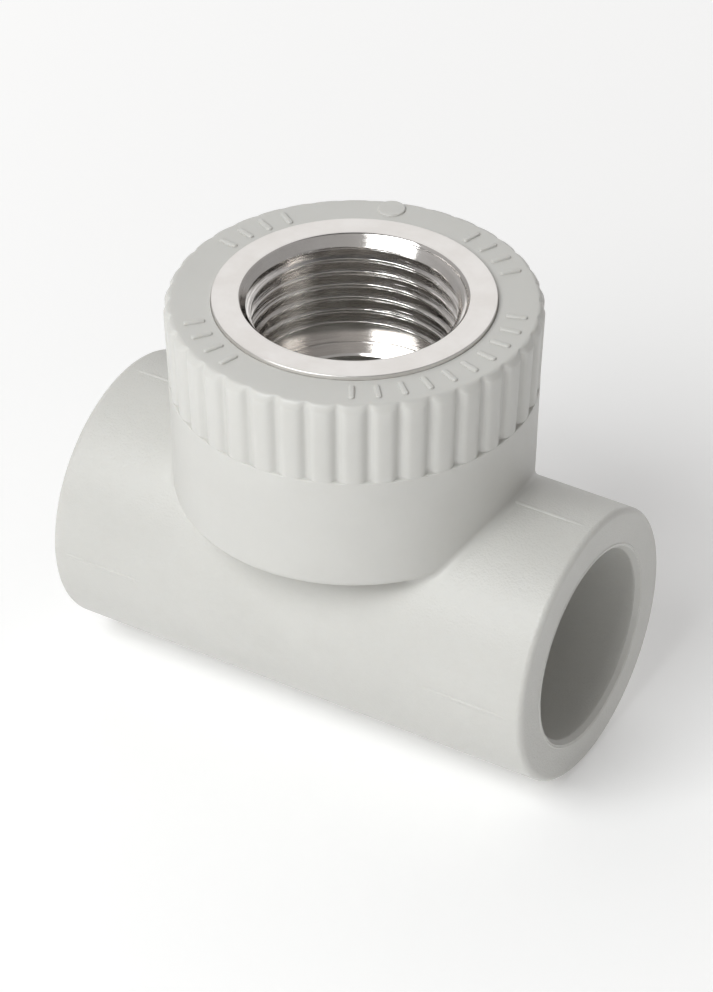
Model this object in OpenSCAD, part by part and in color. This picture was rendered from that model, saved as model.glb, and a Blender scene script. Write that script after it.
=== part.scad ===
// Socket-fusion transition tee, 25 x 3/4" x 25: a moulded polypropylene run with a plain pipe
// socket at each end, and a threaded metal insert moulded into the branch.
// +X runs along the pipe, +Z points up the branch, and the origin is where the two axes cross.

/* [Run] */
// Outside diameter of the run
run_d = 34.4; // [33:0.2:36]
// Length of the run, face to face
run_len = 65.8; // [62:0.2:72]
// Radius of the rounded outer edge at each end face
run_edge = 0.8; // [0.4:0.1:1.5]

/* [Pipe sockets] */
// Bore of each pipe socket
socket_d = 24; // [23.6:0.1:24.6]
// Depth of each pipe socket, from its face to the pipe stop
socket_depth = 18; // [15:0.5:19]
// Size of the 45 degree chamfer at each socket's mouth
socket_chamfer = 0.5; // [0.2:0.1:1]
// Bore of the waterway between the two pipe stops
waterway_d = 18.4; // [17.8:0.2:19]

/* [Branch drum] */
// Diameter of the drum at its flat underside
drum_d = 43.3; // [42.8:0.1:43.8]
// Diameter of the drum where the ribs start
ledge_d = 43.9; // [43.4:0.1:44.2]
// Height of the drum's flat underside above the run's axis
drum_z = 12.1; // [11:0.1:13]
// Radius of the rounded edge around the underside
drum_edge = 1.2; // [0.6:0.1:1.6]
// Height of the ledge where the ribs start
ledge_z = 27.4; // [26:0.2:29]
// Height of the collar's top face above the run's axis
top_z = 38.2; // [37.6:0.1:39]
// Diameter over the ribs at the top
collar_d = 44.6; // [44.2:0.1:45.2]
// Radius of the rounded top edge of the collar
collar_edge = 1; // [0.6:0.1:1.4]

/* [Ribs] */
// Number of upright ribs around the collar
rib_count = 38; // [30:1:44]
// Radius of each rib's round face
rib_r = 2.6; // [2.2:0.1:3.2]
// Angle of the first rib, counted from +X
rib_start = 6.8; // [0:0.1:12]

/* [Raised marks] */
// Height of the raised marks above their surface
mark_h = 0.25; // [0.15:0.05:0.4]
// Width of each raised bar on the top face
bar_w = 0.7; // [0.5:0.1:1]
// Length of each raised bar on the top face
bar_len = 2.6; // [2:0.1:3]
// Diameter of the raised disc on the top face
disc_d = 3.4; // [2.8:0.1:3.8]
// Width of the alignment lines on the sockets
line_w = 0.5; // [0.3:0.1:0.8]
// Length of each alignment line
line_len = 12.5; // [8:0.5:13]

/* [Threaded insert] */
// Outside diameter of the insert's top flange
flange_d = 33.5; // [33:0.1:34]
// How far the flange stands proud of the collar
flange_proud = 0.5; // [0.2:0.1:1]
// Height of the insert's lower end above the run's axis
insert_z = 17; // [16:0.5:18]
// Crest diameter of the 3/4 inch internal parallel pipe thread
thread_minor_d = 24.12; // [24.1:0.02:24.6]
// Root diameter of the thread
thread_major_d = 26.44; // [26.4:0.02:26.6]
// Pitch of the thread, 14 turns to the inch
thread_pitch = 1.814; // [1.7:0.002:1.9]
// Number of turns of thread
thread_turns = 6; // [4:1:6]
// Depth of the countersink above the first turn
countersink_depth = 1.8; // [1:0.1:2]
// Diameter of the countersink where it meets the top face
countersink_d = 27; // [26.8:0.1:27.6]
// Diameter of the plain relief below the thread
relief_d = 26.6; // [26.6:0.1:26.8]
// Depth of the pipe seat below the insert's top face
seat_depth = 15.5; // [15:0.1:16.5]
// Bore through the insert below the seat
insert_bore_d = 21.2; // [20:0.2:22]
// Passage through the plastic from the insert down to the waterway
branch_passage_d = 17.6; // [16.8:0.2:17.8]

/* [Anchoring and seal] */
// Diameter of the insert's two fluted anchoring bands
band_d = 32.8; // [32.4:0.1:33.2]
// Diameter of the necks between the bands
neck_d = 30.8; // [30.4:0.1:31.2]
// Number of flutes around each band
flute_count = 24; // [16:2:30]
// Radius of each flute
flute_r = 0.8; // [0.5:0.1:1]
// Thickness of the seal ring in its groove
seal_t = 1.8; // [1.5:0.1:2]

/* [Hidden] */
$fn = 96;
eps = 0.01;
run_r = run_d / 2;
run_half = run_len / 2;
stop_x = run_half - socket_depth;
flange_z = top_z + flange_proud;
seat_z = flange_z - seat_depth;
thread_top = flange_z - countersink_depth;
thread_end = thread_top - thread_turns * thread_pitch;
crest_flat = thread_pitch / 6;
flank_h = (thread_pitch - 2 * crest_flat) / 2;
flange_chamfer = 0.2;                 // breaks the edge of the insert's flange
flange_t = 2.6;                       // thickness of the flange
band_h = 3.6;                         // height of each fluted band
neck_h = 2;                           // height of each neck
band_top = flange_z - flange_t - neck_h;
lower_band_top = band_top - band_h - neck_h;
seal_band_d = 32.4;                   // plain band that carries the seal ring
seal_z = insert_z + 3;                // height of the seal ring's centre
insert_foot = 1;                      // chamfer around the insert's lower end
flange_gap = 0.15;                    // gap between the flange and the plastic around it
flange_gap_depth = 0.6;
groove_reach = 1.5;                   // how far inward a groove's cutter starts
groove_margin = 0.1;                  // keeps neighbouring cutters apart
rib_crown = 0.02;                     // leaves a narrow land along the top of each rib
bar_centre_r = 19.2;                  // radius of the ring of raised bars
disc_r = 20;                          // radius at which the raised disc sits
disc_angle = 108;                     // angle of the raised disc, counted from +X
line_end = run_half - 1.4;            // outer end of the alignment lines
bar_step = 8.8;                       // angle between neighbouring bars
// Each group of raised bars: the angle of its first bar, and the number of bars
BAR_GROUPS = [[-60, 10], [-134, 4], [146, 4], [48, 4]];

// Points of an arc of radius r about [x, z], from angle a to angle b
function arc(x, z, r, a, b, n = 8) =
    [for (i = [0 : n]) [x + r * cos(a + (b - a) * i / n), z + r * sin(a + (b - a) * i / n)]];

// A cylinder along X, from x = a to x = b
module along_x(r, a, b, r_end = -1) {
    translate([a, 0, 0])
        rotate([0, 90, 0])
            cylinder(h = b - a, r1 = r, r2 = r_end < 0 ? r : r_end);
}

// The run's outside: a plain cylinder with a rounded edge at each end
module run_outside() {
    rotate([0, 90, 0])
        rotate_extrude()
            polygon(concat(
                [[0, -run_half]],
                arc(run_r - run_edge, -run_half + run_edge, run_edge, -90, 0),
                arc(run_r - run_edge, run_half - run_edge, run_edge, 0, 90),
                [[0, run_half]]));
}

// The plain drum under the ribs, slightly wider at the top, with a rounded lower edge
module drum() {
    rotate_extrude()
        polygon(concat(
            [[0, drum_z]],
            arc(drum_d / 2 - drum_edge, drum_z + drum_edge, drum_edge, -90, 0),
            [[ledge_d / 2, ledge_z], [0, ledge_z]]));
}

// The collar before its grooves are cut: a slight taper with a rounded top edge
module collar_blank() {
    rotate_extrude()
        polygon(concat(
            [[0, ledge_z], [ledge_d / 2, ledge_z]],
            arc(collar_d / 2 - collar_edge, top_z - collar_edge, collar_edge, 0, 90, 5),
            [[0, top_z]]));
}

// The space between two round ribs, leaning out with the collar's taper
module groove() {
    ledge_r = ledge_d / 2;
    lean = atan((collar_d - ledge_d) / 2 / (top_z - collar_edge - ledge_z));
    half_width = ledge_r * sin(180 / rib_count) - groove_margin;
    translate([ledge_r, 0, ledge_z])
        rotate([0, lean, 0])
            translate([-ledge_r, 0, -1])
                linear_extrude(top_z - ledge_z + 2)
                    difference() {
                        translate([ledge_r - groove_reach, -half_width])
                            square([groove_reach + rib_crown / 2, 2 * half_width]);
                        for (side = [-1, 1])
                            rotate(side * 180 / rib_count)
                                translate([ledge_r + rib_crown - rib_r, 0])
                                    circle(r = rib_r, $fn = 48);
                    }
}

module ribbed_collar() {
    difference() {
        collar_blank();
        for (i = [0 : rib_count - 1])
            rotate(rib_start + (i + 0.5) * 360 / rib_count)
                groove();
    }
}

// Thin raised lines on both sockets, a quarter turn apart, for lining the pipe up
module alignment_lines() {
    for (side = [-1, 1], turn = [0 : 90 : 270])
        rotate([turn, 0, 0])
            translate([side * (line_end - line_len / 2) - line_len / 2, -line_w / 2, run_r - 0.5])
                cube([line_len, line_w, 0.5 + mark_h]);
}

// Plain raised bars and one disc on the top face
module top_marks() {
    for (group = BAR_GROUPS, i = [0 : group[1] - 1])
        rotate(group[0] + i * bar_step)
            translate([bar_centre_r - bar_len / 2, -bar_w / 2, top_z - 0.5])
                cube([bar_len, bar_w, 0.5 + mark_h]);
    rotate(disc_angle)
        translate([disc_r, 0, top_z - 0.5])
            cylinder(h = 0.5 + mark_h, d = disc_d, $fn = 48);
}

// One pipe socket's bore and its mouth chamfer, at the +X end
module socket_bore() {
    along_x(socket_d / 2, stop_x, run_half + 1);
    along_x(socket_d / 2, run_half - socket_chamfer, run_half + eps,
            socket_d / 2 + socket_chamfer + eps);
}

// The waterway, both sockets and the passage up to the insert
module waterways() {
    along_x(waterway_d / 2, -stop_x - 1, stop_x + 1);
    socket_bore();
    mirror([1, 0, 0])
        socket_bore();
    cylinder(h = insert_z + 1, d = branch_passage_d);
}

// Outside of the insert, without the seal's groove: flange, two fluted bands, plain band
module insert_envelope() {
    difference() {
        rotate_extrude()
            polygon([
                [0, insert_z],
                [seal_band_d / 2 - insert_foot, insert_z],
                [seal_band_d / 2, insert_z + insert_foot],
                [seal_band_d / 2, lower_band_top - band_h - neck_h / 2],
                [neck_d / 2, lower_band_top - band_h - neck_h / 2],
                [neck_d / 2, lower_band_top - band_h],
                [band_d / 2, lower_band_top - band_h],
                [band_d / 2, lower_band_top],
                [neck_d / 2, lower_band_top],
                [neck_d / 2, lower_band_top + neck_h],
                [band_d / 2, lower_band_top + neck_h],
                [band_d / 2, band_top],
                [neck_d / 2, band_top],
                [neck_d / 2, flange_z - flange_t],
                [flange_d / 2, flange_z - flange_t],
                [flange_d / 2, flange_z - flange_chamfer],
                [flange_d / 2 - flange_chamfer, flange_z],
                [0, flange_z]]);
        for (i = [0 : flute_count - 1])
            rotate(i * 360 / flute_count)
                translate([band_d / 2 + flute_r / 4, 0, lower_band_top - band_h])
                    cylinder(h = band_top - lower_band_top + band_h, r = flute_r, $fn = 24);
    }
}

// Inside of the insert: countersink, ring-shaped thread grooves, relief, seat and through bore
module insert_inside() {
    rotate_extrude()
        polygon(concat(
            [[0, insert_z - 1],
             [insert_bore_d / 2, insert_z - 1],
             [insert_bore_d / 2, seat_z],
             [relief_d / 2, seat_z],
             [relief_d / 2, thread_end],
             [thread_minor_d / 2, thread_end]],
            [for (i = [0 : thread_turns - 1])
                for (p = [[0, 0.5 * crest_flat], [1, 0.5 * crest_flat + flank_h],
                          [1, 1.5 * crest_flat + flank_h], [0, 1.5 * crest_flat + 2 * flank_h]])
                    [(p[0] == 0 ? thread_minor_d : thread_major_d) / 2,
                     thread_end + i * thread_pitch + p[1]]],
            [[thread_minor_d / 2, thread_top],
             [countersink_d / 2, flange_z],
             [countersink_d / 2, flange_z + 1],
             [0, flange_z + 1]]));
}

// The socket-fusion body, moulded around the insert and its seal
module body() {
    color([0.86, 0.86, 0.84])
        difference() {
            union() {
                run_outside();
                drum();
                ribbed_collar();
                alignment_lines();
                top_marks();
            }
            waterways();
            insert_envelope();
            translate([0, 0, top_z - flange_gap_depth])
                cylinder(h = flange_gap_depth + 1, d = flange_d + 2 * flange_gap);
        }
}

module threaded_insert() {
    color([0.82, 0.8, 0.76])
        difference() {
            insert_envelope();
            insert_inside();
            rotate_extrude()
                translate([seal_band_d / 2 - seal_t, seal_z - 0.65 * seal_t])
                    square([seal_t + 1, 1.3 * seal_t]);
        }
}

// Rubber ring in the insert's groove, pressed against the plastic around it
module seal_ring() {
    color([0.12, 0.12, 0.13])
        rotate_extrude()
            translate([seal_band_d / 2 - seal_t / 2, seal_z])
                circle(d = seal_t, $fn = 32);
}

body();
threaded_insert();
seal_ring();
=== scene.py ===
import math

import bmesh
import bpy
import numpy as np
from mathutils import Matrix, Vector


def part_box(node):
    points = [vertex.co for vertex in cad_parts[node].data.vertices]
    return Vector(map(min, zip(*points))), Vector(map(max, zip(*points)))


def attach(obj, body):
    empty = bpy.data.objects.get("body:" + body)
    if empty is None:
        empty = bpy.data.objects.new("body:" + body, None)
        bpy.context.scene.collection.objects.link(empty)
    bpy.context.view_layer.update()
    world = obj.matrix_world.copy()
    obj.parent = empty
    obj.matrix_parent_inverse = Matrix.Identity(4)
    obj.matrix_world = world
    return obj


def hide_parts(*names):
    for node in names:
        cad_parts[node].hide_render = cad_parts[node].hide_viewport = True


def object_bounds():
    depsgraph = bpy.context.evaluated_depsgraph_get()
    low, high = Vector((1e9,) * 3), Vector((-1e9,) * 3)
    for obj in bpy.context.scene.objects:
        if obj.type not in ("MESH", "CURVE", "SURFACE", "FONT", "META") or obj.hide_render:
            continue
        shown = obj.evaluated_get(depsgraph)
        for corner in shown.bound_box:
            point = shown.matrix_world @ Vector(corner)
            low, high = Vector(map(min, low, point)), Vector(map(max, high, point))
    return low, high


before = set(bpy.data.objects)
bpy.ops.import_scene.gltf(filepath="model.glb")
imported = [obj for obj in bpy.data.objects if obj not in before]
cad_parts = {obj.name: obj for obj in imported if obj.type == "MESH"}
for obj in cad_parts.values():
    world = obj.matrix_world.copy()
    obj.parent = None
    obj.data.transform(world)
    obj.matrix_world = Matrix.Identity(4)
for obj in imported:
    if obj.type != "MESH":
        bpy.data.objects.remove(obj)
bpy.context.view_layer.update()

# All shapes are worked out in millimetres and scaled to metres when they become objects.
MM = 0.001
body_lo, body_hi = [np.array(v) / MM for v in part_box("body")]
insert_lo, insert_hi = [np.array(v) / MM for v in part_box("threaded_insert")]

# Plastic body: the run along X
MARK_H = 0.25               # the CAD model's raised marks reach this far past the surface
RUN_HALF = body_hi[0]
RUN_R = -body_lo[2] - MARK_H
RUN_EDGE = 0.8
RIDGE = 0.09                # height of the ridge around each socket's mouth
RIDGE_R = 12.8
END_FACE = RUN_HALF - RIDGE
RUN_COLUMNS = 400
SOCKET_R = 12.0
SOCKET_DEPTH = 18.0
SOCKET_CHAMFER = 0.5
WATERWAY_R = 9.2
WATERWAY_COLUMNS = 300
PASSAGE_R = 8.8

# The drum and its ribbed collar, along Z
TOP_Z = body_hi[2] - MARK_H
COLLAR_R = body_hi[1]
COLLAR_EDGE = 1.0
DRUM_R = 21.65
LEDGE_R = 21.95
DRUM_Z = 12.1
DRUM_EDGE = 1.2
LEDGE_Z = 27.4
LEDGE_STEP = 0.02           # the crests of the ribs stand this far inside the ledge
LEDGE_ROUND = 0.2
FILLET = 0.7
FILLET_COLUMNS = 720

# Ribs, with depths below the crest and distances from the middle of a groove
RIBS = 38
RIB_START = 6.8             # degrees
RIB_CROWN = 0.15
GROOVE = 0.44
GROOVE_HALF = 0.2
RIB_SIDE = 1.3

# Raised marks
LINE_HALF = 6.4
LINE_MIDDLE = RUN_HALF - 7.65
LINE_WIDTH = 0.29           # half of the width
LINE_HEIGHT = 0.2
LINE_SINK = 0.065
LINE_POINTS = 16
BAR_SIZE = (2.6, 0.7)
BAR_R = 19.2
BAR_STEP = 8.8              # degrees from one bar to the next
BAR_GROUPS = ((-60, 10), (-134, 4), (146, 4), (48, 4))      # first angle, number of bars
DISC_R = 1.7
DISC_PLACE = (20, 108)      # radius and angle in degrees
MARK_ROOT = 0.5             # how deep the marks reach into the body
MARK_EDGE = 0.2

# Threaded insert
FLANGE_Z = insert_hi[2]
INSERT_Z = insert_lo[2]
FLANGE_R = insert_hi[0]
FLANGE_T = 2.6
FLANGE_GAP = 0.03
FLANGE_EDGE = 0.12
BAND_TOP = FLANGE_Z - 4.6
LOWER_TOP = BAND_TOP - 5.6
LOWER_END = LOWER_TOP - 3.6
BAND_R, NECK_R, SEAL_BAND_R = 16.4, 15.4, 16.2
NECK_H = 2
FLUTE_PITCH = np.pi / 12
FLUTE_R = 0.8
FLUTE_AXIS_R = 16.6
SEAL_Z = 20
SEAL_GROOVE_HALF = 1.17
SEAL_GROOVE_DEPTH = 1.8
PITCH = 1.814
MINOR_R = 12.06
MAJOR_R = 13.22
THREAD_TURNS = 6
RELIEF_R = 13.3
RELIEF_SLOPE = 3            # radius lost per height where the thread runs out
MOUTH_R = 13.5
MOUTH_EDGE = 0.06
SINK_DEPTH = 1.8
SEAT_R = 10.6
SEAT_Z = FLANGE_Z - 15.5
THREAD_TOP = FLANGE_Z - SINK_DEPTH
THREAD_END = THREAD_TOP - THREAD_TURNS * PITCH
CREST_Z = SEAT_Z + 1.14     # height of a crest on the +X side
WALL_TOP = FLANGE_Z - 0.2   # the thread's rows stop here, just under the mouth's edge
THREAD_SOFT = 0.09          # how far the thread's corners are rounded
COLUMNS = 384
ANGLES = np.arange(COLUMNS) * 2 * np.pi / COLUMNS
SEAL_COLUMNS = 240
SEAL_POINTS = 40
SEAM = 0.02


def arc(x, z, r, a, b, n):
    """n + 1 points of an arc about (x, z), from angle a to b in degrees."""
    t = np.radians(np.linspace(a, b, n + 1))
    return np.stack([x + r * np.cos(t), z + r * np.sin(t)], -1).tolist()


def lathe(profile, columns, along="z"):
    """Rings of points: each (radius, height) of the profile turned about Z or X."""
    p = np.array(profile, float)
    a = np.arange(columns) * 2 * np.pi / columns
    u, v = p[:, :1] * np.cos(a), p[:, :1] * np.sin(a)
    h = np.repeat(p[:, 1:], columns, 1)
    return np.stack([u, v, h] if along == "z" else [h, u, v], -1)


def link(name, mesh):
    piece = bpy.data.objects.new(name, mesh)
    bpy.context.scene.collection.objects.link(piece)
    return piece


def make(name, points, faces):
    """A mesh object in millimetres, with its face normals turned outwards."""
    mesh = bpy.data.meshes.new(name)
    mesh.from_pydata(np.asarray(points).reshape(-1, 3).tolist(), [], faces)
    b = bmesh.new()
    b.from_mesh(mesh)
    bmesh.ops.recalc_face_normals(b, faces=b.faces)
    b.to_mesh(mesh)
    b.free()
    return link(name, mesh)


def ring_faces(rows, columns, start=0, looped=False):
    """Quads between neighbouring rings. looped joins the last ring to the first."""
    faces = []
    for i in range(rows if looped else rows - 1):
        a, b = start + i * columns, start + (i + 1) % rows * columns
        for j in range(columns):
            k = (j + 1) % columns
            faces.append((a + j, a + k, b + k, b + j))
    return faces


def solid(name, rings):
    """A closed solid from a stack of rings, with a flat cap at each end."""
    rows, columns = rings.shape[:2]
    last = (rows - 1) * columns
    caps = [tuple(range(columns - 1, -1, -1)), tuple(range(last, last + columns))]
    return make(name, rings, ring_faces(rows, columns) + caps)


def combine(target, other, operation):
    """Joins other to target, or cuts it away, and drops it."""
    step = target.modifiers.new("step", "BOOLEAN")
    step.operation = operation
    step.solver = "MANIFOLD"
    step.object = other
    graph = bpy.context.evaluated_depsgraph_get()
    mesh = bpy.data.meshes.new_from_object(target.evaluated_get(graph))
    target.modifiers.clear()
    target.data = mesh
    bpy.data.objects.remove(other)


def finish_piece(piece, material, angle):
    """Scales to metres, shades smooth up to angle, and places the piece on the body."""
    mesh = piece.data
    b = bmesh.new()
    b.from_mesh(mesh)
    bmesh.ops.remove_doubles(b, verts=b.verts, dist=1e-4)
    bmesh.ops.dissolve_degenerate(b, dist=1e-4, edges=b.edges)
    bmesh.ops.recalc_face_normals(b, faces=b.faces)
    bmesh.ops.scale(b, vec=(MM, MM, MM), verts=b.verts)
    b.to_mesh(mesh)
    b.free()
    mesh.materials.clear()
    mesh.materials.append(material)
    mesh.polygons.foreach_set("use_smooth", [True] * len(mesh.polygons))
    mesh.set_sharp_from_angle(angle=math.radians(angle))
    even = piece.modifiers.new("even", "WEIGHTED_NORMAL")
    even.keep_sharp = True
    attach(piece, "root")


# ---------------------------------------------------------------- body

def smooth_min(a, b, k):
    h = np.maximum(k - np.abs(a - b), 0) / k
    return np.minimum(a, b) - h * h * k / 4


def run_outside():
    """The run, with the fine ridge that its mould leaves around each mouth."""
    edge = RUN_R - RUN_EDGE
    half = [[RUN_R, x] for x in np.linspace(0, RUN_HALF - 3, 11)[1:]]
    half += arc(edge, END_FACE - RUN_EDGE, RUN_EDGE, 0, 90, 10)
    half += [[RIDGE_R + 0.15, END_FACE], [RIDGE_R + 0.03, RUN_HALF]]
    half += [[RIDGE_R - 0.03, RUN_HALF], [RIDGE_R - 0.15, END_FACE]]
    mirrored = [[r, -x] for r, x in reversed(half)]
    return solid("run", lathe(mirrored + [[RUN_R, 0]] + half, RUN_COLUMNS, "x"))


def rib_depth(turn):
    """Depth below the crest, at angles turn: a slight crown, round sides, a narrow floor."""
    pitch = 2 * np.pi / RIBS
    off = (turn - math.radians(RIB_START) + pitch / 2) % pitch - pitch / 2
    half = COLLAR_R * pitch / 2
    from_groove = half - np.abs(off) * COLLAR_R
    fall = np.clip((RIB_SIDE - from_groove) / (RIB_SIDE - GROOVE_HALF), 0, 1) ** 2
    ease = smooth_min(fall, 0.97, 0.12)
    return RIB_CROWN * (off / (pitch / 2)) ** 2 + GROOVE * ease


def rib_angles():
    """Columns around the collar, closer together at each groove."""
    share = np.linspace(-1, 1, 23)[:-1]
    share = np.sign(share) * (1 - (1 - np.abs(share)) ** 1.5)
    pitch = 2 * np.pi / RIBS
    start = math.radians(RIB_START)
    turns = [start + (i + s / 2) * pitch for i in range(RIBS) for s in share]
    return np.array(turns)


def drum_and_collar():
    turn = rib_angles()
    rows = []

    def row(r, z):
        r = np.broadcast_to(r, turn.shape)
        z = np.broadcast_to(z, turn.shape)
        rows.append(np.stack([r * np.cos(turn), r * np.sin(turn), z], -1))

    for r in (6, 12, 17):               # the underside, inside the run
        row(r, DRUM_Z)
    for r, z in arc(DRUM_R - DRUM_EDGE, DRUM_Z + DRUM_EDGE, DRUM_EDGE, -90, -1, 9):
        row(r, z)
    for t in np.linspace(0, 1, 8)[1:]:
        z = DRUM_Z + DRUM_EDGE + t * (LEDGE_Z - 0.3 - DRUM_Z - DRUM_EDGE)
        row(DRUM_R + (LEDGE_R - DRUM_R) * t, z)
    depth = rib_depth(turn)
    crest = LEDGE_R - LEDGE_STEP
    foot = crest - depth
    step = LEDGE_R - foot
    soft = np.minimum(LEDGE_ROUND, 0.45 * step)
    for a in np.radians([0, 22.5, 45, 67.5, 90]):
        row(LEDGE_R - soft * (1 - math.cos(a)), LEDGE_Z - soft * (1 - math.sin(a)))
    inner = np.minimum(LEDGE_ROUND, 0.35 * step)
    for a in np.radians([0, 30, 60, 90]):
        row(foot + inner * (1 - math.sin(a)), LEDGE_Z + inner * (1 - math.cos(a)))
    shoulder = TOP_Z - COLLAR_EDGE
    for t in np.linspace(0, 1, 12)[1:]:
        z = LEDGE_Z + 0.22 + t * (shoulder - LEDGE_Z - 0.22)
        row(crest + (COLLAR_R - crest) * t - depth, z)
    for a in np.radians(np.linspace(0, 90, 17)[1:]):
        edge = COLLAR_R - COLLAR_EDGE + COLLAR_EDGE * math.cos(a)
        fade = smooth_min(COLLAR_R - depth, edge, 0.75 * math.sin(2 * a) + 0.01)
        row(fade, shoulder + COLLAR_EDGE * math.sin(a))
    for r in (20.5, 19, 17.6):
        row(r, TOP_Z)
    return solid("collar", np.array(rows))


def drum_offset(gap):
    """The drum's outline in (radius, height) grown by gap, with its outward direction."""
    lean = math.atan2(LEDGE_R - DRUM_R, LEDGE_Z - DRUM_Z - DRUM_EDGE)
    centre = np.array([DRUM_R - DRUM_EDGE, DRUM_Z + DRUM_EDGE])
    under = [([s, DRUM_Z - gap], [0, -1]) for s in np.linspace(0, centre[0], 3000)]
    edge = []
    for a in np.linspace(-math.pi / 2, -lean, 1500):
        away = np.array([math.cos(a), math.sin(a)])
        edge.append((centre + (DRUM_EDGE + gap) * away, away))
    away = np.array([math.cos(lean), -math.sin(lean)])
    along = np.array([math.sin(lean), math.cos(lean)])
    side = [(edge[-1][0] + along * t, away) for t in np.linspace(0, 12, 3000)[1:]]
    both = under + edge + side
    return np.array([b[0] for b in both], float), np.array([b[1] for b in both], float)


def junction_fillet():
    """The rounded inner corner where the drum meets the run, swept by a rolling ball."""
    line, away = drum_offset(FILLET)
    rows = []
    for turn in np.arange(FILLET_COLUMNS) * 2 * np.pi / FILLET_COLUMNS:
        c, s = math.cos(turn), math.sin(turn)
        reach = np.hypot(line[:, 0] * s, line[:, 1])
        k = int(np.searchsorted(reach - (RUN_R + FILLET), 0))
        t = (RUN_R + FILLET - reach[k - 1]) / (reach[k] - reach[k - 1])
        at = line[k - 1] + t * (line[k] - line[k - 1])
        out = away[k - 1] + t * (away[k] - away[k - 1])
        ball = np.array([at[0] * c, at[0] * s, at[1]])
        from_drum = np.array([out[0] * c, out[0] * s, out[1]])
        from_drum /= np.linalg.norm(from_drum)
        from_run = np.array([0, ball[1], ball[2]])
        from_run /= np.linalg.norm(from_run)
        cos_gap = float(np.clip(from_run @ from_drum, -1, 1))
        gap = math.acos(cos_gap)
        # A hair into the solid, so that its edges cross both walls cleanly.
        sink = 0.002 * (from_run + from_drum) / (1 + cos_gap)
        ring = []
        for w in np.linspace(0, 1, 11):
            mix = math.sin((1 - w) * gap) * from_run + math.sin(w * gap) * from_drum
            ring.append(ball - sink - FILLET * mix / math.sin(gap))
        deep = FILLET + 0.35
        ring.append(ball - deep * from_drum)
        ring.append(ball - deep * (from_run + from_drum) / (1 + cos_gap))
        ring.append(ball - deep * from_run)
        rows.append(ring)
    rows = np.array(rows)
    return make("fillet", rows, ring_faces(len(rows), rows.shape[1], looped=True))


def raised_bar(length, width, foot, top, corner, edge):
    """Rings of a rounded bar standing along Z, with its length along X."""
    def outline(inset):
        points = []
        for sx, sy, start in ((1, 1, 0), (-1, 1, 90), (-1, -1, 180), (1, -1, 270)):
            cx, cy = sx * (length / 2 - corner), sy * (width / 2 - corner)
            points += arc(cx, cy, corner - inset, start, start + 90, 4)
        return np.array(points)

    heights = [(foot, 0)]
    for a in np.radians([0, 30, 60, 90]):
        heights.append((top - edge * (1 - math.sin(a)), edge * (1 - math.cos(a))))
    rings = []
    for z, inset in heights:
        flat = outline(inset)
        rings.append(np.column_stack([flat, np.full(len(flat), z)]))
    return np.array(rings)


def turned(rings, degrees, axis):
    c, s = math.cos(math.radians(degrees)), math.sin(math.radians(degrees))
    about_z = [[c, -s, 0], [s, c, 0], [0, 0, 1]]
    about_x = [[1, 0, 0], [0, c, -s], [0, s, c]]
    return rings @ np.array(about_z if axis == "z" else about_x).T


def alignment_line():
    """Rings of a fine raised line along X on top of the run, which fades out at its ends."""
    rings = []
    for t in np.linspace(-1, 1, 41):
        fade = 1.02 - abs(t) ** 5
        size = [LINE_WIDTH * fade ** 0.5, LINE_HEIGHT * fade]
        section = np.array(arc(0, 0, 1, 0, 360, LINE_POINTS)[:-1]) * size
        rings.append(np.column_stack([np.full(LINE_POINTS, LINE_HALF * t), section[:, 0],
                                      RUN_R - LINE_SINK + section[:, 1]]))
    return np.array(rings)


def raised_marks():
    """The alignment lines on both sockets, and the bars and the disc on the top face."""
    stacks = []
    line = alignment_line()
    for side in (-1, 1):
        for degrees in (0, 90, 180, 270):
            moved = line + [side * LINE_MIDDLE, 0, 0]
            stacks.append(turned(moved, degrees, "x"))
    root, top = TOP_Z - MARK_ROOT, TOP_Z + MARK_H
    bar = raised_bar(*BAR_SIZE, root, top, 0.3, MARK_EDGE) + [BAR_R, 0, 0]
    for first, count in BAR_GROUPS:
        for i in range(count):
            stacks.append(turned(bar, first + BAR_STEP * i, "z"))
    profile = [[DISC_R, root]]
    profile += arc(DISC_R - MARK_EDGE, top - MARK_EDGE, MARK_EDGE, 0, 90, 5)
    stacks.append(turned(lathe(profile, 64) + [DISC_PLACE[0], 0, 0], DISC_PLACE[1], "z"))
    points, faces = [], []
    for rings in stacks:
        rows, columns = rings.shape[:2]
        start = sum(len(p) for p in points)
        points.append(rings.reshape(-1, 3))
        last = start + (rows - 1) * columns
        faces += ring_faces(rows, columns, start)
        faces.append(tuple(range(start + columns - 1, start - 1, -1)))
        faces.append(tuple(range(last, last + columns)))
    return make("marks", np.concatenate(points), faces)


def waterway():
    """Both sockets and the bore between them, as one turned solid to cut away."""
    mouth = SOCKET_R + SOCKET_CHAMFER
    stop = RUN_HALF - SOCKET_DEPTH
    half = arc(WATERWAY_R + 0.3, stop - 0.3, 0.3, 180, 90, 5)
    half += arc(SOCKET_R - 0.4, stop + 0.4, 0.4, -90, 0, 5)
    half += [[SOCKET_R, RUN_HALF - 0.95], [SOCKET_R + 0.1, RUN_HALF - 0.77]]
    half += [[SOCKET_R + 0.06, RUN_HALF - 0.7], [mouth - 0.06, RUN_HALF - 0.2]]
    half += [[mouth, END_FACE - 0.02], [mouth + 0.01, RUN_HALF + 1]]
    mirrored = [[r, -x] for r, x in reversed(half)]
    return solid("waterway", lathe(mirrored + half, WATERWAY_COLUMNS, "x"))


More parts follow.
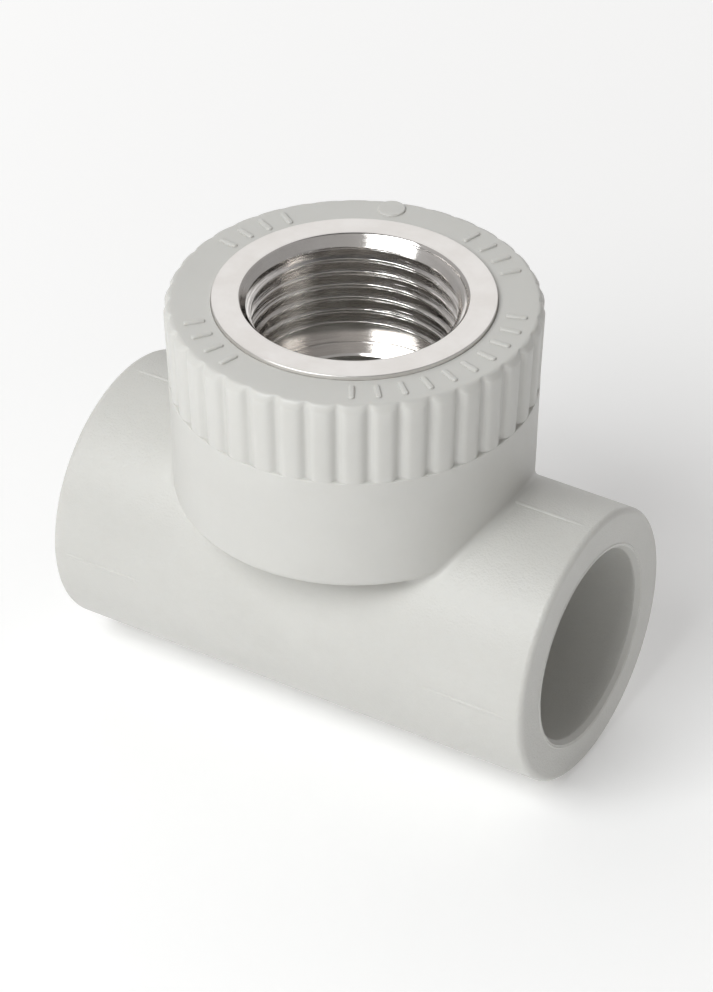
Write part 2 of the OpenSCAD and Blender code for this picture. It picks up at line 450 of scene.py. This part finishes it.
def insert_outline():
    """The insert's outside from its foot to the underside of the flange."""
    return [
        [SEAL_BAND_R - 1, INSERT_Z], [SEAL_BAND_R, INSERT_Z + 1],
        [SEAL_BAND_R, LOWER_END - 1], [NECK_R, LOWER_END - 1], [NECK_R, LOWER_END],
        [BAND_R, LOWER_END], [BAND_R, LOWER_TOP], [NECK_R, LOWER_TOP],
        [NECK_R, LOWER_TOP + NECK_H], [BAND_R, LOWER_TOP + NECK_H], [BAND_R, BAND_TOP],
        [NECK_R, BAND_TOP], [NECK_R, FLANGE_Z - FLANGE_T], [FLANGE_R, FLANGE_Z - FLANGE_T],
    ]


def insert_pocket():
    """The space the insert fills, with the fine gap around its flange and the passage."""
    gap = FLANGE_R + FLANGE_GAP
    profile = [[PASSAGE_R, 0], [PASSAGE_R, INSERT_Z]] + insert_outline()
    profile += [[FLANGE_R, TOP_Z - 0.6], [gap, TOP_Z - 0.6], [gap, TOP_Z - 0.1]]
    profile += [[gap + 0.03, TOP_Z - 0.02], [gap + 0.07, TOP_Z + 0.01], [gap + 0.07, TOP_Z + 1]]
    return solid("pocket", lathe(profile, COLUMNS))


# ---------------------------------------------------------------- insert

def row_shares():
    """Where the rows stand within one turn of the thread, closest at its four corners."""
    corners = np.array([-1, 1, 5, 7, 11]) / 12
    shares = []
    for low, high, steps in zip(corners, corners[1:], (4, 7, 4, 7)):
        t = (1 - np.cos(np.linspace(0, np.pi, steps + 1))) / 2
        shares += (low + (high - low) * t[:-1]).tolist()
    return np.array(shares)


ROW_SHARES = row_shares()
THREAD_ROWS = len(ROW_SHARES)


def sink_radius(height):
    """The countersink at the mouth, which narrows to the thread's crests."""
    return MOUTH_R - (FLANGE_Z - height) / SINK_DEPTH * (MOUTH_R - MINOR_R)


def outside_rings():
    """From the mouth over the top face, down the outside and in under the foot."""
    flute = (ANGLES + FLUTE_PITCH / 2) % FLUTE_PITCH - FLUTE_PITCH / 2
    across = FLUTE_R ** 2 - (FLUTE_AXIS_R * np.sin(flute)) ** 2
    near = FLUTE_AXIS_R * np.cos(flute) - np.sqrt(np.clip(across, 0, None))
    fluted = np.where(across > 0, np.minimum(near, BAND_R), BAND_R)
    edge = MOUTH_R + MOUTH_EDGE
    profile = [[sink_radius(z), z] for z in (FLANGE_Z - 0.15, FLANGE_Z - 0.07)]
    profile += [[edge - 0.03, FLANGE_Z - 0.015], [edge, FLANGE_Z]]
    profile += [[r, FLANGE_Z] for r in np.linspace(13.9, FLANGE_R - 0.3, 8)]
    profile += arc(FLANGE_R - FLANGE_EDGE, FLANGE_Z - FLANGE_EDGE, FLANGE_EDGE, 90, 0, 6)
    profile += [[FLANGE_R, FLANGE_Z - 0.2]]
    profile += [[r, z] for r, z in reversed(insert_outline()[2:])]
    groove_top, groove_low = SEAL_Z + SEAL_GROOVE_HALF, SEAL_Z - SEAL_GROOVE_HALF
    floor_r = SEAL_BAND_R - SEAL_GROOVE_DEPTH
    profile += [[SEAL_BAND_R, groove_top], [floor_r, groove_top]]
    profile += [[floor_r, groove_low], [SEAL_BAND_R, groove_low]]
    profile += [[SEAL_BAND_R, INSERT_Z + 1], [SEAL_BAND_R - 1, INSERT_Z]]
    profile += [[SEAT_R + 0.2, INSERT_Z]]
    rings = []
    for r, z in profile:
        radius = np.full(COLUMNS, r)
        if abs(r - BAND_R) < 1e-6:
            radius = fluted
        rings.append(np.stack([radius * np.cos(ANGLES), radius * np.sin(ANGLES),
                               np.full(COLUMNS, z)], -1))
    return np.array(rings)


def bore_below_thread():
    """The through hole, the seat, and the relief up to where the thread's rows start."""
    profile = [[SEAT_R, INSERT_Z + 0.2], [SEAT_R, SEAT_Z - 0.25], [SEAT_R + 0.25, SEAT_Z]]
    profile += [[RELIEF_R - 0.3, SEAT_Z], [RELIEF_R - 0.1, SEAT_Z]]
    profile += arc(RELIEF_R - 0.1, SEAT_Z + 0.1, 0.1, -60, 0, 3)
    profile += [[RELIEF_R, SEAT_Z + 0.15], [RELIEF_R, SEAT_Z + 0.6]]
    return lathe(profile, COLUMNS)


def thread_radius(share, height):
    """The pipe thread, share of a turn along, cut by the countersink and the relief."""
    away = np.minimum(share % 1, 1 - share % 1)
    flank = MINOR_R + (away - 1 / 12) * 6 / 2 * (MAJOR_R - MINOR_R) * 0.985
    flank = -smooth_min(-flank, -MINOR_R, THREAD_SOFT)
    radius = smooth_min(flank, MAJOR_R, THREAD_SOFT)
    lower = np.minimum(RELIEF_R, RELIEF_R - (height - THREAD_END) * RELIEF_SLOPE)
    return np.maximum(radius, np.maximum(lower, sink_radius(height)))


def thread_wall():
    """Each column's points up the bore. The rows climb one pitch in a full turn."""
    turns = math.ceil((WALL_TOP - CREST_Z) / PITCH) + 1
    shares = np.concatenate([ROW_SHARES + k for k in range(turns)])
    columns = []
    for i in range(COLUMNS):
        height = CREST_Z + PITCH * (shares + i / COLUMNS)
        inside = height <= WALL_TOP
        r = thread_radius(shares[inside], height[inside])
        columns.append(np.stack([r * np.cos(ANGLES[i]), r * np.sin(ANGLES[i]),
                                 height[inside]], -1))
    return columns


def stitch(edge, ring):
    """Triangles from a slanting edge of (angle, point) pairs to the ring starting at ring."""
    level = [(ANGLES[i], ring + i) for i in range(COLUMNS)] + [(2 * np.pi, ring)]
    faces = []
    a = b = 0
    while a + 1 < len(edge) or b + 1 < len(level):
        step_edge = b + 1 >= len(level) or (
            a + 1 < len(edge) and edge[a + 1][0] <= level[b + 1][0])
        if step_edge:
            corner = (edge[a][1], edge[a + 1][1], level[b][1])
            a += 1
        else:
            corner = (edge[a][1], level[b + 1][1], level[b][1])
            b += 1
        if len(set(corner)) == 3:
            faces.append(corner)
    return faces


def insert():
    """One closed skin: the turned outside, and a bore whose rows climb with the thread."""
    rings = np.concatenate([outside_rings(), bore_below_thread()])
    wall = thread_wall()
    count = [len(column) for column in wall]
    first = rings.shape[0] * COLUMNS + np.concatenate([[0], np.cumsum(count)])

    def at(i, j):
        return int(first[i]) + j

    # After a full turn, row j of the last column meets row j + THREAD_ROWS of the first.
    faces = ring_faces(len(rings), COLUMNS)
    below, above = [], []
    for i in range(COLUMNS):
        k, shift = (i + 1, 0) if i + 1 < COLUMNS else (0, THREAD_ROWS)
        shared = count[k] - shift
        for j in range(min(count[i], shared) - 1):
            faces.append((at(i, j), at(k, j + shift), at(k, j + shift + 1), at(i, j + 1)))
        below.append((ANGLES[i], at(i, 0)))
        above += [(ANGLES[i], at(i, j)) for j in range(count[i] - 1, shared - 2, -1)]
    below += [(2 * np.pi, at(0, j)) for j in range(THREAD_ROWS, -1, -1)]
    above.append((2 * np.pi, at(0, count[0] - 1)))

    # The slanting first and last rows are joined to the level rings below and above.
    faces += stitch(below, (len(rings) - 1) * COLUMNS) + stitch(above, 0)
    return make("insert", np.concatenate([rings.reshape(-1, 3)] + wall), faces)


def seal_ring():
    """The moulded seal, with the fine seam that its mould leaves around the inside."""
    low, high = [np.array(v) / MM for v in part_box("seal_ring")]
    r = (high[2] - low[2]) / 2
    centre = high[0] - r, (low[2] + high[2]) / 2
    section = np.array(arc(*centre, r, 0, 360, SEAL_POINTS)[:-1])
    innermost = SEAL_POINTS // 2
    section[innermost - 1:innermost + 2, 0] -= SEAM
    rings = lathe(section, SEAL_COLUMNS)
    return make("seal", rings, ring_faces(SEAL_POINTS, SEAL_COLUMNS, looped=True))


# ---------------------------------------------------------------- materials

# Where looks change, in metres: distance from the branch's axis, then heights.
PAST_DRUM = (0.0224, 0.0231)
UNDER_DRUM = (0.0119, 0.0123)
SEAT_WALL = (0.0256, 0.0266)
THREAD_FOOT = (0.0260, 0.0266)
THREAD_HEAD = (0.0366, 0.0371)


def nodes_of(material):
    material.use_nodes = True
    tree = material.node_tree
    return tree, tree.nodes["Principled BSDF"]


def noise(tree, vector, scale, detail=2.0, rough=0.5):
    n = tree.nodes.new("ShaderNodeTexNoise")
    n.inputs["Scale"].default_value = scale
    n.inputs["Detail"].default_value = detail
    n.inputs["Roughness"].default_value = rough
    tree.links.new(vector, n.inputs["Vector"])
    return n.outputs["Fac"]


def ramp(tree, value, low, high, a, b):
    """value from low..high mapped to a..b."""
    n = tree.nodes.new("ShaderNodeMapRange")
    for name, v in (("From Min", low), ("From Max", high), ("To Min", a), ("To Max", b)):
        n.inputs[name].default_value = v
    tree.links.new(value, n.inputs["Value"])
    return n.outputs["Result"]


def maths(tree, kind, a, b):
    n = tree.nodes.new("ShaderNodeMath")
    n.operation = kind
    for i, v in enumerate((a, b)):
        if isinstance(v, (int, float)):
            n.inputs[i].default_value = v
        else:
            tree.links.new(v, n.inputs[i])
    return n.outputs[0]


def from_axis(tree, x, y):
    """Distance from the branch's axis."""
    squares = maths(tree, "ADD", maths(tree, "MULTIPLY", x, x), maths(tree, "MULTIPLY", y, y))
    return maths(tree, "SQRT", squares, 0)


def mix_colour(tree, factor, a, b):
    n = tree.nodes.new("ShaderNodeMix")
    n.data_type = "RGBA"
    tree.links.new(factor, n.inputs["Factor"])
    n.inputs["A"].default_value = (*a, 1)
    n.inputs["B"].default_value = (*b, 1)
    return n.outputs["Result"]


def bump(tree, height, distance, strength=1.0):
    n = tree.nodes.new("ShaderNodeBump")
    n.inputs["Strength"].default_value = strength
    n.inputs["Distance"].default_value = distance
    tree.links.new(height, n.inputs["Height"])
    return n.outputs["Normal"]


def plastic():
    """Satin grey polypropylene: finely sparked on the run, smoother on the drum."""
    material = bpy.data.materials.new("body_plastic")
    tree, shader = nodes_of(material)
    place = tree.nodes.new("ShaderNodeTexCoord").outputs["Object"]
    split = tree.nodes.new("ShaderNodeSeparateXYZ")
    tree.links.new(place, split.inputs[0])
    x, y, z = split.outputs
    far = from_axis(tree, x, y)
    outside = ramp(tree, far, *PAST_DRUM, 0, 1)
    under = ramp(tree, z, *UNDER_DRUM, 1, 0)
    run = maths(tree, "MAXIMUM", outside, under)

    fine = noise(tree, place, 3600, 3, 0.6)
    medium = noise(tree, place, 900, 2, 0.5)
    broad = noise(tree, place, 55, 3, 0.55)
    height = maths(tree, "ADD", fine, maths(tree, "MULTIPLY", medium, 0.6))
    height = maths(tree, "MULTIPLY", height, ramp(tree, run, 0, 1, 0.08, 1.0))
    tree.links.new(bump(tree, height, 0.00013, 0.5), shader.inputs["Normal"])

    tone = maths(tree, "ADD", maths(tree, "MULTIPLY", broad, 0.85),
                 maths(tree, "MULTIPLY", medium, 0.15))
    tone = ramp(tree, tone, 0.35, 0.65, 0, 1)
    colour = mix_colour(tree, tone, (0.587, 0.583, 0.556), (0.615, 0.611, 0.584))
    tree.links.new(colour, shader.inputs["Base Color"])
    gloss = maths(tree, "ADD", ramp(tree, run, 0, 1, 0.40, 0.41),
                  ramp(tree, fine, 0.3, 0.7, -0.04, 0.04))
    tree.links.new(gloss, shader.inputs["Roughness"])
    shader.inputs["IOR"].default_value = 1.49
    shader.inputs["Specular IOR Level"].default_value = 0.62
    shader.inputs["Subsurface Weight"].default_value = 0.18
    shader.inputs["Subsurface Radius"].default_value = (1.0, 0.9, 0.8)
    shader.inputs["Subsurface Scale"].default_value = 0.0011
    return material


def nickel(name, roughness, smear, ring_depth, grain):
    """Nickel plate over turned brass.

    smear draws reflections out across the tool's rings, which are ring_depth deep.
    """
    material = bpy.data.materials.new(name)
    tree, shader = nodes_of(material)
    place = tree.nodes.new("ShaderNodeTexCoord").outputs["Object"]
    split = tree.nodes.new("ShaderNodeSeparateXYZ")
    tree.links.new(place, split.inputs[0])
    x, y, z = split.outputs
    far = from_axis(tree, x, y)
    joined = tree.nodes.new("ShaderNodeCombineXYZ")
    tree.links.new(far, joined.inputs[0])
    tree.links.new(z, joined.inputs[2])
    rings = noise(tree, joined.outputs[0], 3000, 3, 0.6)
    broad = noise(tree, place, 240, 3, 0.6)
    fine = noise(tree, place, 2600, 2, 0.5)
    cut = maths(tree, "MULTIPLY", ramp(tree, z, *THREAD_FOOT, 0.25, 1),
                ramp(tree, z, *THREAD_HEAD, 1, 0.15))
    height = maths(tree, "ADD", maths(tree, "MULTIPLY", rings, cut),
                   maths(tree, "MULTIPLY", fine, grain))
    tree.links.new(bump(tree, height, ring_depth, 1.0), shader.inputs["Normal"])
    colour = mix_colour(tree, ramp(tree, broad, 0.35, 0.65, 0, 1),
                        (0.80, 0.775, 0.75), (0.85, 0.83, 0.81))
    tree.links.new(colour, shader.inputs["Base Color"])
    worn = ramp(tree, rings, 0.3, 0.7, roughness - 0.03, roughness + 0.04)
    worn = maths(tree, "ADD", worn, ramp(tree, z, *SEAT_WALL, 0.03, 0))
    tree.links.new(worn, shader.inputs["Roughness"])
    shader.inputs["Metallic"].default_value = 1.0
    shader.inputs["Anisotropic"].default_value = smear
    shader.inputs["Anisotropic Rotation"].default_value = 0.25
    return material


def rubber():
    material = bpy.data.materials.new("seal_rubber")
    tree, shader = nodes_of(material)
    place = tree.nodes.new("ShaderNodeTexCoord").outputs["Object"]
    grain = noise(tree, place, 3000, 3, 0.6)
    colour = mix_colour(tree, ramp(tree, grain, 0.3, 0.7, 0, 1),
                        (0.018, 0.018, 0.02), (0.035, 0.034, 0.035))
    tree.links.new(colour, shader.inputs["Base Color"])
    tree.links.new(ramp(tree, grain, 0.3, 0.7, 0.5, 0.7), shader.inputs["Roughness"])
    tree.links.new(bump(tree, grain, 0.00002, 0.5), shader.inputs["Normal"])
    return material


# ---------------------------------------------------------------- build

body = run_outside()
combine(body, drum_and_collar(), "UNION")
combine(body, junction_fillet(), "UNION")
combine(body, raised_marks(), "UNION")
combine(body, waterway(), "DIFFERENCE")
combine(body, insert_pocket(), "DIFFERENCE")
body.name = "tee_body"
finish_piece(body, plastic(), 30)
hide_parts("body")

sleeve = insert()
sleeve.name = "nickel_insert"
face_plate = nickel("nickel_face", roughness=0.33, smear=0.0, ring_depth=0.000012, grain=0.2)
bore_plate = nickel("nickel_bore", roughness=0.11, smear=0.6, ring_depth=0.000075, grain=0.0)
finish_piece(sleeve, face_plate, 40)
sleeve.data.materials.append(bore_plate)
bore_limit = (MOUTH_R + 0.02) * MM
for face in sleeve.data.polygons:
    if math.hypot(face.center.x, face.center.y) < bore_limit:
        face.material_index = 1
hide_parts("threaded_insert")

seal = seal_ring()
seal.name = "rubber_seal"
finish_piece(seal, rubber(), 40)
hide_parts("seal_ring")


# ---------------------------------------------------------------- stage

def area_light(name, place, target, size, power, colour=(1, 1, 1)):
    light = bpy.data.lights.new(name, "AREA")
    light.shape = "RECTANGLE"
    light.size, light.size_y = size
    light.energy = power
    light.color = colour
    lamp = bpy.data.objects.new(name, light)
    bpy.context.scene.collection.objects.link(lamp)
    aim(lamp, place, target)


def aim(thing, place, target):
    """Stands thing at place, looking at target, both in metres."""
    thing.location = place
    way = Vector(target) - Vector(place)
    thing.rotation_euler = way.to_track_quat("-Z", "Y").to_euler()


floor_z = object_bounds()[0].z
reach = 3
corners = [(-reach, -reach, floor_z), (reach, -reach, floor_z),
           (reach, reach, floor_z), (-reach, reach, floor_z)]
floor_mesh = bpy.data.meshes.new("floor")
floor_mesh.from_pydata(corners, [], [(0, 1, 2, 3)])
floor = link("floor", floor_mesh)
floor_material = bpy.data.materials.new("floor_paper")
tree, paper = nodes_of(floor_material)
away = tree.nodes.new("ShaderNodeVectorMath")
away.operation = "LENGTH"
tree.links.new(tree.nodes.new("ShaderNodeTexCoord").outputs["Object"], away.inputs[0])
# The floor glows a little, and more so away from the object.
glow = ramp(tree, away.outputs["Value"], 0.08, 0.3, 0.17, 0.33)
tree.links.new(glow, paper.inputs["Emission Strength"])
paper.inputs["Base Color"].default_value = (0.93, 0.93, 0.93, 1)
paper.inputs["Roughness"].default_value = 0.9
paper.inputs["Specular IOR Level"].default_value = 0.1
paper.inputs["Emission Color"].default_value = (1, 1, 1, 1)
floor_mesh.materials.append(floor_material)

# The room is pale all round and darker overhead, between the lights.
world = bpy.data.worlds.new("studio")
bpy.context.scene.world = world
world.use_nodes = True
sky = world.node_tree
split = sky.nodes.new("ShaderNodeSeparateXYZ")
sky.links.new(sky.nodes.new("ShaderNodeTexCoord").outputs["Generated"], split.inputs[0])
strength = maths(sky, "MULTIPLY", ramp(sky, split.outputs["Z"], 0, 0.6, 0.34, 0.46),
                 ramp(sky, split.outputs["Z"], 0.80, 0.95, 1, 0.16))
strength = maths(sky, "MULTIPLY", strength, ramp(sky, split.outputs["X"], 0, 1, 1, 0.68))
sky.nodes["Background"].inputs["Color"].default_value = (1, 0.98, 0.965, 1)
sky.links.new(strength, sky.nodes["Background"].inputs["Strength"])

middle = (0, 0, 0.012)
area_light("key", (-0.104, -0.412, 0.436), middle, (0.42, 0.35), 2.62, (0.985, 1, 1))
area_light("back", (-0.29, 0.48, 0.42), middle, (0.72, 0.72), 0.86)

bpy.context.scene.view_settings.view_transform = "Standard"

# The camera's place and lens come from its fit to the photograph's perspective.
camera_data = bpy.data.cameras.new("camera")
camera_data.sensor_fit = "HORIZONTAL"
camera_data.sensor_width = 36
camera_data.lens = 206.63091
camera_data.clip_start, camera_data.clip_end = 0.05, 10
camera = bpy.data.objects.new("camera", camera_data)
bpy.context.scene.collection.objects.link(camera)
azimuth, elevation = math.radians(30.959), math.radians(36.206)
ahead = (-math.sin(azimuth) * math.cos(elevation),
         math.cos(azimuth) * math.cos(elevation), -math.sin(elevation))
eye = (0.205165, -0.341526, 0.301363)
aim(camera, eye, tuple(e + a for e, a in zip(eye, ahead)))
bpy.context.scene.camera = camera
